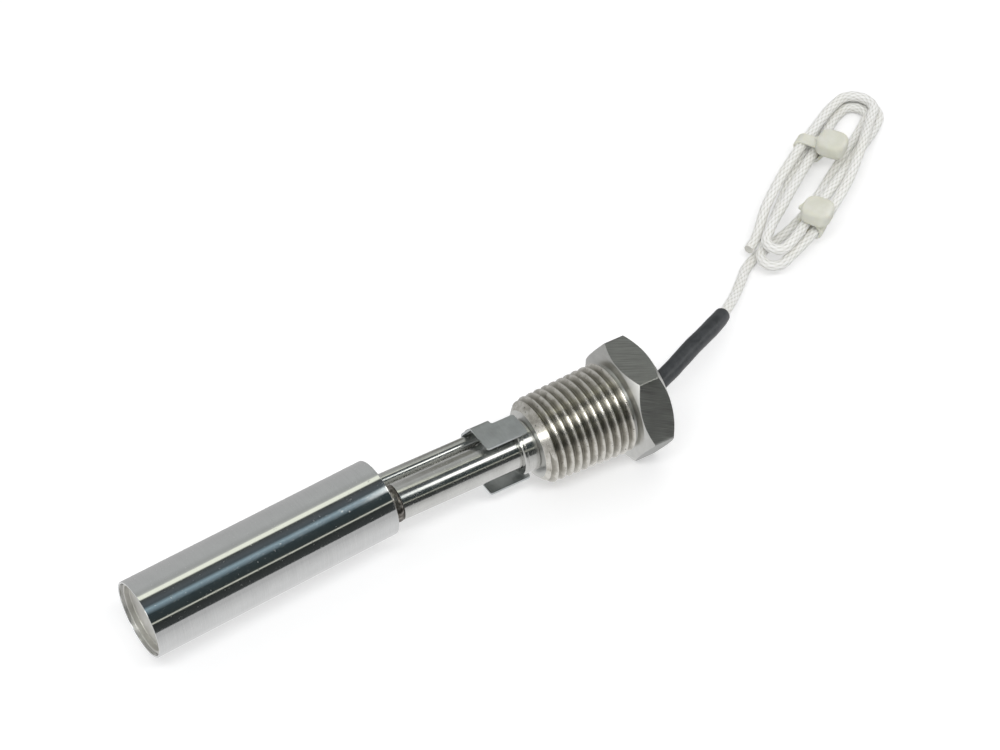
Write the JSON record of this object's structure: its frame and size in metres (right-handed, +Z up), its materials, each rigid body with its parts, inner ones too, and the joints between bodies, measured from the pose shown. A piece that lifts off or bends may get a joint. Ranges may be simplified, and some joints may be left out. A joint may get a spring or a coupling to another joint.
{
  "type": "side-mount float level switch",
  "caption": "Stainless side-mount float level switch: cylindrical float on a hinged arm beside a reed stem, hex plug with taper pipe thread, sleeved white cable tied in a hank.",
  "frame": {"origin": "on the surface that the switch lies on, under the middle of its box without the cable", "axes": "+X along the stem from the float towards the cable, +Z up, +Y to the hinge side"},
  "size_m": [0.2408, 0.0851, 0.026],
  "materials": {
    "plug_steel": "turned and milled stainless steel, satin",
    "stem_steel": "bright drawn stainless steel",
    "weld_steel": "heat-tinted stainless steel at a weld",
    "sheet_steel": "plain rolled stainless sheet",
    "polished_steel": "mirror-polished stainless steel",
    "magnet": "sintered magnet, dark grey",
    "reed_glass": "clear greenish glass",
    "contact_metal": "plated contact metal",
    "insulator": "natural plastic",
    "wire_cover": "wire insulation",
    "potting_resin": "cast black resin",
    "black_sleeve": "semi-matte shrink tubing",
    "white_braid": "woven white glass-fibre braid",
    "natural_nylon": "natural nylon, slightly translucent"
  },
  "bodies": {
    "switch": {"plug_body": "plug_steel", "stem_collar": "stem_steel", "stem_tube": "stem_steel", "stem_end_plug": "weld_steel", "reed_glass": "reed_glass", "reed_blade_a": "contact_metal", "reed_blade_b": "contact_metal", "reed_jumper": "contact_metal", "reed_sleeve": "insulator", "lead_wire_a": "wire_cover", "lead_wire_b": "wire_cover", "splice_a": "contact_metal", "splice_b": "contact_metal", "potting_plug": "potting_resin", "pivot_stud": "stem_steel", "pivot_washer": "stem_steel", "heat_shrink_sleeve": "black_sleeve", "cable_lead": "white_braid", "cable_hank": "white_braid", "cable_tie_upper": "natural_nylon", "cable_tie_lower": "natural_nylon"},
    "float": {"float_shell": "polished_steel", "float_front_cap": "polished_steel", "float_rear_cap": "polished_steel", "magnet_holder": "insulator", "float_magnet": "magnet", "float_arm": "stem_steel", "arm_socket": "weld_steel", "hinge_bracket": "sheet_steel"}
  },
  "joints": [
    {"name": "float_swing", "type": "hinge", "parent": "switch", "child": "float", "pos_m": [0.02358, 0.00483, 0.01252], "axis": [0, -0.9951, 0.0993], "range_deg": [0, 6]}
  ]
}
